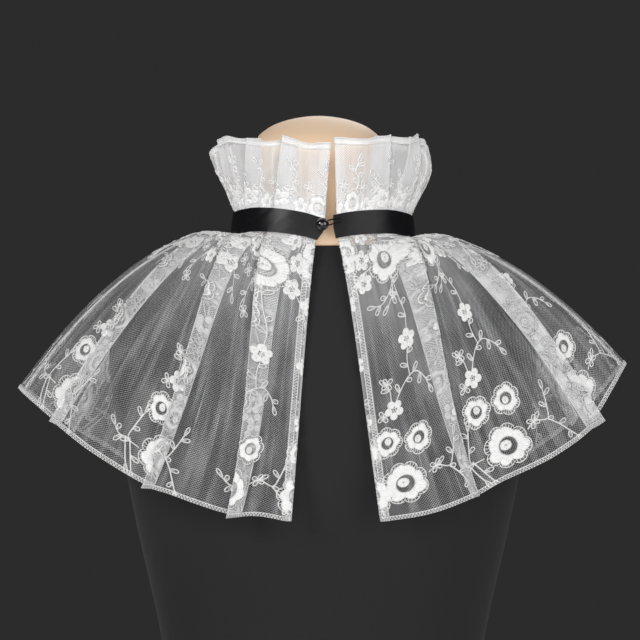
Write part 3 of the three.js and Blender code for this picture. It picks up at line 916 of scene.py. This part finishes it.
# One repeat of the ruffle's pattern, up from the neck seam.
RUFFLE_FLOWERS = (
    (MEDIUM, 0, 16),
    (SMALL, 17, 13),
    (SMALL, -17, 14),
    (SMALL, 29, 19),
    (LOOPED, 10, 29),
    (LOOPED, -27, 24),
    (LOOPED, 24, 27),
    (LOOPED, -9, 31),
)
RUFFLE_TWIGS = (
    (((3, 26), (6, 34), (2, 42), (4, 49)), 4),
    (((-18, 22), (-24, 32), (-20, 40), (-25, 47)), 4),
    (((20, 21), (25, 29), (21, 36)), 2),
)


FLOWER_TURN = 23  # degrees that a flower is turned for each millimetre along its repeat


def repeat(flowers, twigs, wider):
    """One repeat. Where gathers draw the strip together the flowers keep their width, and crowd."""
    tile = Stitches()
    for flower, along, up in flowers:
        tile.stamp(flower, along, -up, FLOWER_TURN * along, wider(up))
    for points, leaves in twigs:
        twig(tile, points, leaves, wider)
    return tile


def ladder(stitches, start, end, width, pitch):
    """Two cords with zigzag stitches between them, from one place on the strip to another."""
    start, end = np.asarray(start, float), np.asarray(end, float)
    length = np.linalg.norm(end - start)
    ahead = (end - start) / length
    side = np.array([-ahead[1], ahead[0]]) * width / 2
    n = int(length / 1.4)
    path = start + ahead * np.linspace(0, length, n)[:, None]
    stitches.cord(path + side, 0.95, 0.5)
    stitches.cord(path - side, 0.95, 0.5)
    for k in range(int(length / pitch)):
        a = start + ahead * k * pitch
        stitches.bar(a - side, a + ahead * pitch / 2 + side, 0.6, 0.5)
        stitches.bar(a + ahead * pitch / 2 + side, a + ahead * pitch - side, 0.6, 0.5)


# ---- the pieces ----

PARTS = 4  # the capelet's embroidery is laid in so many pieces

# The capelet's repeats: how far the first two lie from its right edge and the last from its left edge,
# and how many lie evenly from the second to the last. The first is set higher and leans.
FIRST_REPEAT, SECOND_REPEAT, LAST_REPEAT, EVEN_REPEATS = 26, 135, 57, 12
FIRST_RAISED, FIRST_LEAN = 5, 0.14
LEFT_EDGE_FLOWERS = 10  # how far from the left edge its cut flowers lie
RUFFLE_START, RUFFLE_PERIOD = 24, 62.0  # the ruffle's first repeat, and the step to the next

# Rows of stitches: how far inside an edge they run, their width, and the pitch of their zigzag.
ROW_END = 0.6
CAPELET_HEM_ROW = (1.7, 3.2, 2.0)
FRONT_BAND_ROW = (13.6, 3.8, 2.4)
FRONT_BAND_TOP, FRONT_BAND_FOOT = 11, 4  # how far from the strip's top and from its hem it ends
RUFFLE_HEM_ROWS = ((0.8, 1.0, 2.2), (4.6, 0.9, 1.8))


def gathers(deg, share):
    """The small gathers that the neck seam makes."""
    height = 0.55 * ease(share / 0.04) * ease((0.45 - share) / 0.4)
    return height * np.sin(np.radians(deg) * 88 + 1.6 * np.sin(np.radians(deg) * 9))


def seam_level(up):
    return 0, lambda deg: ring_point(deg, up, 0)


def select_only(obj):
    bpy.ops.object.select_all(action="DESELECT")
    obj.select_set(True)
    bpy.context.view_layer.objects.active = obj


def finished(obj, node):
    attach(obj, "root")
    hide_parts(node)
    return obj


def sewn_on(obj):
    """Turns the threads' faces outward and lets them ride along."""
    select_only(obj)
    bpy.ops.object.mode_set(mode="EDIT")
    bpy.ops.mesh.select_all(action="SELECT")
    bpy.ops.mesh.normals_make_consistent(inside=False)
    bpy.ops.object.mode_set(mode="OBJECT")
    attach(obj, "root")
    return obj


def make_capelet(net, thread):
    downs = np.concatenate([np.linspace(0.02, 0.2, 9), np.linspace(0.24, 1, 22)])
    levels = [seam_level(-SEAM_GAP / 2), seam_level(-BAND / 2), seam_level(-BAND)]
    levels += [(down, lambda deg, down=down: capelet_point(deg, down)) for down in downs]
    lace = Lace(levels, CAPELET_PLEATS, CAPELET_FRONT, CAPELET_SWEEP, FLUTE, gathers, creases, -1)
    sheet = finished(lace_sheet("capelet_net", lace, net), "capelet")
    length, hem = lace.u[-1], lace.v[-1]

    def wider(up):
        return lace.wider(hem - up)

    tile = repeat(CAPELET_FLOWERS, CAPELET_TWIGS, wider)
    repeats = [FIRST_REPEAT, *np.linspace(SECOND_REPEAT, length - LAST_REPEAT, EVEN_REPEATS)]
    edge = repeat(EDGE_FLOWERS, (), wider)
    vine = repeat(FOLD_FLOWERS, FOLD_TWIGS, wider)
    sewn = []
    for part in range(PARTS):
        motifs = Stitches()
        for along in repeats[part::PARTS]:
            first = along == repeats[0]
            motifs.stamp(tile, along, hem - FIRST_RAISED * first, lean=FIRST_LEAN * first)
        if part == PARTS - 1:
            motifs.stamp(edge, 0, hem)
            motifs.stamp(edge, length - LEFT_EDGE_FLOWERS, hem)
        for along in lace.pleat_middles()[part::PARTS]:
            motifs.stamp(vine, along, hem)
        piece = motifs.sew(f"capelet_embroidery_{part + 1}", lace, thread)
        sewn.append(sewn_on(piece))
    hems = Stitches()
    inside, *row = CAPELET_HEM_ROW
    ladder(hems, (ROW_END, hem - inside), (length - ROW_END, hem - inside), *row)
    inside, *row = FRONT_BAND_ROW
    for u in (inside, length - inside):
        ladder(hems, (u, FRONT_BAND_TOP), (u, hem - FRONT_BAND_FOOT), *row)
    sewn.append(sewn_on(hems.sew("capelet_hem_stitches", lace, thread)))
    return lace, sheet, sewn


def make_ruffle(net, thread):
    rises = np.linspace(1, 0.04, 18)
    levels = [(rise, lambda deg, rise=rise: ruffle_point(deg, rise)) for rise in rises]
    levels += [seam_level(BAND), seam_level(BAND / 2), seam_level(SEAM_GAP / 2)]

    def uncreased(deg, share):
        return np.zeros_like(deg)

    lace = Lace(levels, RUFFLE_PLEATS, RUFFLE_FRONT, RUFFLE_SWEEP, RUFFLE_WAVE, gathers, uncreased, 1)
    sheet = finished(lace_sheet("ruffle_net", lace, net), "ruffle")
    length, seam = lace.u[-1], lace.v[-1]
    tile = repeat(RUFFLE_FLOWERS, RUFFLE_TWIGS, lambda up: lace.wider(seam - up))
    motifs = Stitches()
    for k in range(int(length / RUFFLE_PERIOD) + 1):
        motifs.stamp(tile, RUFFLE_START + k * RUFFLE_PERIOD, seam)
    sewn = [sewn_on(motifs.sew("ruffle_embroidery", lace, thread))]
    hems = Stitches()
    for inside, *row in RUFFLE_HEM_ROWS:
        ladder(hems, (ROW_END, inside), (length - ROW_END, inside), *row)
    sewn.append(sewn_on(hems.sew("ruffle_hem_stitches", lace, thread)))
    return lace, sheet, sewn


# Creases of the ribbon: direction in degrees, lean in degrees across it, width in degrees, height.
RIBBON_CREASES = (
    (24, 8, 5.0, -0.16),
    (41, 9, 6.0, 0.18),
    (62, 7, 6.0, -0.18),
    (84, 8, 7.0, 0.2),
    (118, 6, 7.0, -0.24),
    (160, -4, 7.0, 0.24),
    (205, 6, 7.0, -0.24),
    (262, -6, 6.0, 0.24),
    (294, 9, 2.6, -0.4),
    (305, 11, 2.0, 0.36),
    (314, 10, 1.8, -0.36),
    (331, 9, 3.4, 0.2),
    (347, 8, 5.0, -0.12),
)
RIBBON_SLANT_RIGHT, RIBBON_SLANT_LEFT = 1.4, 4.4  # degrees that each cut end's low corner lies back


def make_ribbon(satin):
    columns, rows = 300, 11
    out = CLOTH / 2 + FIT + RIBBON_WALL / 2
    points = []
    for r in range(rows):
        across = 1 - 2 * r / (rows - 1)
        low = max(-across, 0)
        first = RIBBON_RIGHT + RIBBON_SLANT_RIGHT * low
        last = RIBBON_LEFT + RIBBON_SLANT_LEFT * low
        deg = np.linspace(first, 360 - last, columns)
        depth = np.zeros(columns)
        for at, lean, width, height in RIBBON_CREASES:
            depth += height * np.exp(-(((deg - at - lean * across) / width) ** 2))
        bow = 0.15 * (1 - across * across)
        ring = ring_point(deg, across * RIBBON_WIDTH / 2, out)
        a = np.radians(deg)
        outward = np.stack([np.sin(a), -np.cos(a), np.zeros(columns)], 1)
        points.append(ring + outward * (depth + bow)[:, None])
    points = np.array(points)
    steps = np.linalg.norm(np.diff(points[rows // 2], axis=0), axis=1)
    u = np.concatenate([[0], np.cumsum(steps)])
    v = np.linspace(0, RIBBON_WIDTH, rows)
    uv = np.stack(np.meshgrid(u, v), -1).reshape(-1, 2)
    faces = grid_faces(rows, columns)
    ribbon = new_mesh("neck_ribbon", points.reshape(-1, 3), faces, satin, uv)
    finished(ribbon, "ribbon")
    return ribbon, u[-1]


BUTTON_DEG, BUTTON_UP, BUTTON_RADIUS = -0.4, 4.6, 5.1
SHANK_RADIUS, SHANK_LENGTH, SHANK_SEAT = 1.0, 2.3, 0.3  # the seat reaches into the bead
BUTTON_OUT = CLOTH / 2 + FIT + RIBBON_WALL + FIT
LOOP_RADIUS, LOOP_REACH, LOOP_END, LOOP_SPREAD = 0.6, 2.1, 10.5, 1.6


def settle(obj):
    """Puts the object's place into its mesh."""
    select_only(obj)
    bpy.ops.object.transform_apply(location=True, rotation=True, scale=True)


def make_button(gloss):
    a = math.radians(BUTTON_DEG)
    away = Vector((math.sin(a), -math.cos(a), 0))
    foot = Vector(ring_point(BUTTON_DEG, BUTTON_UP, BUTTON_OUT) * MM)
    middle = foot + away * (SHANK_LENGTH + math.sqrt(BUTTON_RADIUS**2 - SHANK_RADIUS**2)) * MM
    bpy.ops.mesh.primitive_uv_sphere_add(
        segments=48,
        ring_count=24,
        radius=BUTTON_RADIUS * MM,
        location=middle,
    )
    bead = bpy.context.object
    bead.name = "button_bead"
    settle(bead)
    bpy.ops.object.shade_smooth()
    turn = away.to_track_quat("Z", "Y").to_euler()
    bpy.ops.mesh.primitive_cylinder_add(
        vertices=20,
        radius=SHANK_RADIUS * MM,
        depth=(SHANK_LENGTH + SHANK_SEAT) * MM,
        location=foot + away * (SHANK_LENGTH + SHANK_SEAT) / 2 * MM,
        rotation=turn,
    )
    shank = bpy.context.object
    shank.name = "button_shank"
    settle(shank)
    bpy.ops.object.shade_smooth_by_angle(angle=math.radians(40))
    for piece in (bead, shank):
        piece.data.materials.clear()
        piece.data.materials.append(gloss)
        finished(piece, "button")


def make_loop(cord):
    degree = math.radians(1) * RING_X
    out = BUTTON_OUT + LOOP_RADIUS
    far = (LOOP_END - BUTTON_DEG) * degree
    turn = []
    for deg in (-90, -135, 180, 135, 90):
        a = math.radians(deg)
        turn.append((LOOP_REACH * math.cos(a), LOOP_REACH * math.sin(a)))
    low = [(far, -LOOP_SPREAD), (far / 2, -1.2 * LOOP_SPREAD)]
    high = [(far / 2, 1.2 * LOOP_SPREAD), (far, LOOP_SPREAD)]
    flat = smooth_path([*low, *turn, *high], 0.35)
    path = np.array([ring_point(BUTTON_DEG + x / degree, BUTTON_UP + z, out) for x, z in flat])
    n, sides = len(path), 12
    ahead = np.gradient(path, axis=0)
    ahead /= np.linalg.norm(ahead, axis=1, keepdims=True)
    side = np.cross(ahead, (0, -1, 0))
    side /= np.linalg.norm(side, axis=1, keepdims=True)
    over = np.cross(side, ahead)
    points = []
    for i in range(n):
        a = np.linspace(0, 2 * math.pi, sides, endpoint=False)
        r = LOOP_RADIUS * (0.9 + 0.1 * np.cos(2 * a + i * 0.9))
        points.append(path[i] + side[i] * (r * np.cos(a))[:, None] + over[i] * (r * np.sin(a))[:, None])
    faces = [tuple(range(sides)), tuple(range(n * sides - 1, (n - 1) * sides - 1, -1))]
    for i in range(n - 1):
        for k in range(sides):
            m = (k + 1) % sides
            a, b = i * sides, (i + 1) * sides
            faces.append((a + k, b + k, b + m, a + m))
    loop = sewn_on(new_mesh("button_loop_cord", np.vstack(points), faces, cord))
    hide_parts("button_loop")


def smooth_copy(node, name, material):
    """A rounder copy of one of the form's pieces."""
    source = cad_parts[node]
    obj = bpy.data.objects.new(name, source.data.copy())
    bpy.context.collection.objects.link(obj)
    select_only(obj)
    bpy.ops.object.mode_set(mode="EDIT")
    bpy.ops.mesh.select_all(action="SELECT")
    bpy.ops.mesh.remove_doubles(threshold=0.00001)
    bpy.ops.mesh.normals_make_consistent(inside=False)
    bpy.ops.mesh.tris_convert_to_quads()
    bpy.ops.mesh.select_all(action="DESELECT")
    bpy.ops.mesh.edges_select_sharp(sharpness=math.radians(25))
    bpy.ops.transform.edge_crease(value=0.75)
    bpy.ops.object.mode_set(mode="OBJECT")
    rounder = obj.modifiers.new("rounder", "SUBSURF")
    rounder.levels = 2
    bpy.ops.object.modifier_apply(modifier="rounder")
    bpy.ops.object.shade_smooth()
    obj.data.materials.clear()
    obj.data.materials.append(material)
    finished(obj, node)


# The threads are painted darker in the hollows between their stitches, as painted shade: strongly on the
# capelet, faintly on the ruffle.
# The capelet's net is thicker towards the neck, and the ruffle's at its turned hem and its seam.
capelet_thread = thread_finish("lace_thread", (0.4, 0.4, 0.405))
ruffle_thread = thread_finish("lace_thread_faint_shade", (0.8, 0.79, 0.78))
capelet_finish = net_finish("lace_net", 0.0, [(120.0, 8.0, 0.19)])
ruffle_finish = net_finish("lace_net_hemmed", 0.4, [(5.4, 4.8, 0.3), (40.0, 62.0, 0.24)])
capelet, capelet_net, capelet_sewn = make_capelet(capelet_finish, capelet_thread)
ruffle, ruffle_net, ruffle_sewn = make_ruffle(ruffle_finish, ruffle_thread)
neck_ribbon, ribbon_length = make_ribbon(satin_finish())
make_button(bead_finish())
make_loop(cord_finish())
smooth_copy("form_body", "form_body_cover", cover_finish())
smooth_copy("form_neck", "form_neck_skin", neck_finish())

# ---- floor, light and camera ----


def floor():
    bpy.ops.mesh.primitive_circle_add(vertices=96, radius=1.2, fill_type="NGON", location=(0, 0, -0.002))
    disc = bpy.context.object
    disc.name = "studio_floor"
    pale = Finish("studio_floor", (0.62, 0.61, 0.6), 0.85)
    disc.data.materials.append(pale.material)


def light(name, place, target, size, watts):
    lamp = bpy.data.lights.new(name, "AREA")
    lamp.shape, lamp.size, lamp.energy = "DISK", size, watts
    obj = bpy.data.objects.new(name, lamp)
    bpy.context.collection.objects.link(obj)
    obj.location = place
    away = Vector(place) - Vector(target)
    obj.rotation_euler = away.to_track_quat("Z", "Y").to_euler()


floor()
light("key", (-1.8, -1.7, 1.4), (0, 0, 0.45), 1.1, 40)
light("fill", (1.9, -1.7, 1.0), (0, 0, 0.45), 2.4, 44)
light("front", (-0.4, -3.0, 0.5), (0, 0, 0.45), 2.4, 46)
light("back", (0.2, 1.8, 1.6), (0, 0, 0.5), 1.0, 18)

scene = bpy.context.scene
scene.world = bpy.data.worlds.new("studio")
scene.world.use_nodes = True
scene.world.node_tree.nodes["Background"].inputs["Color"].default_value = (0.026, 0.025, 0.025, 1)
scene.view_settings.view_transform = "Standard"
scene.cycles.transparent_max_bounces = 24

lens = bpy.data.cameras.new("camera")
lens.clip_end = 40
lens.sensor_width, lens.lens = 36, 703.125
camera = bpy.data.objects.new("camera", lens)
bpy.context.collection.objects.link(camera)
camera.location = (-0.0024, -10.0, 0.480)
camera.rotation_euler = (math.radians(90), 0, 0)
scene.camera = camera
